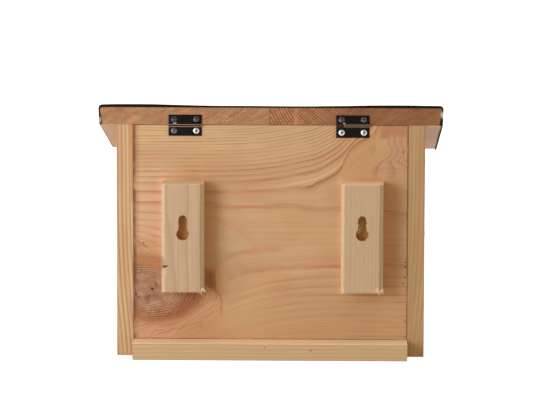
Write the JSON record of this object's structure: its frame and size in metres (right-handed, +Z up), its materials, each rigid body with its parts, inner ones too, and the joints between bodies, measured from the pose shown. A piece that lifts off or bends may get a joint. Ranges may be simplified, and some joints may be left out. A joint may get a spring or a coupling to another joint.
{
  "type": "squirrel feeder",
  "caption": "Pine squirrel feeder box with a felted lid on butt hinges, a clear front pane in grooves, a front platform and rear battens with keyhole slots for hanging.",
  "frame": {"origin": "middle of the footprint, on the underside of the floor board", "axes": "+X across, to the feeder's right side as seen from the front; +Y towards the wall; +Z up"},
  "size_m": [0.3052, 0.24, 0.2231],
  "materials": {
    "pine": "planed pine, thinly oiled",
    "batten_pine": "planed pale spruce",
    "roof_pine": "sawn end grain and planed faces",
    "roof_felt": "mineral-faced bitumen felt",
    "black_hinge": "gloss black",
    "zinc": "bright zinc plate",
    "clear_acrylic": "clear, polished"
  },
  "bodies": {
    "box": {"back_panel": "pine", "floor_board": "pine", "left_side": "pine", "left_batten": "batten_pine", "left_hinge_fixed_leaf": "black_hinge", "left_hinge_pin": "zinc", "left_hinge_fixed_screws": "zinc", "left_batten_screws": "zinc", "left_back_screws": "zinc", "left_floor_screws": "zinc", "right_side": "pine", "right_batten": "batten_pine", "right_hinge_fixed_leaf": "black_hinge", "right_hinge_pin": "zinc", "right_hinge_fixed_screws": "zinc", "right_batten_screws": "zinc", "right_back_screws": "zinc", "right_floor_screws": "zinc"},
    "lid": {"roof_board": "roof_pine", "roof_felt": "roof_felt", "felt_tacks": "zinc", "left_hinge_lid_leaf": "black_hinge", "left_hinge_lid_screws": "zinc", "right_hinge_lid_leaf": "black_hinge", "right_hinge_lid_screws": "zinc"},
    "pane": {"front_pane": "clear_acrylic"}
  },
  "joints": [
    {"name": "lid_hinge", "type": "hinge", "parent": "box", "child": "lid", "pos_m": [0, 0.0969, 0.2064], "axis": [-1, 0, 0], "range_deg": [0, 104]},
    {"name": "pane_slide", "type": "slide", "parent": "box", "child": "pane", "axis": [0, 0, 1], "range_m": [0, 0.005]}
  ]
}
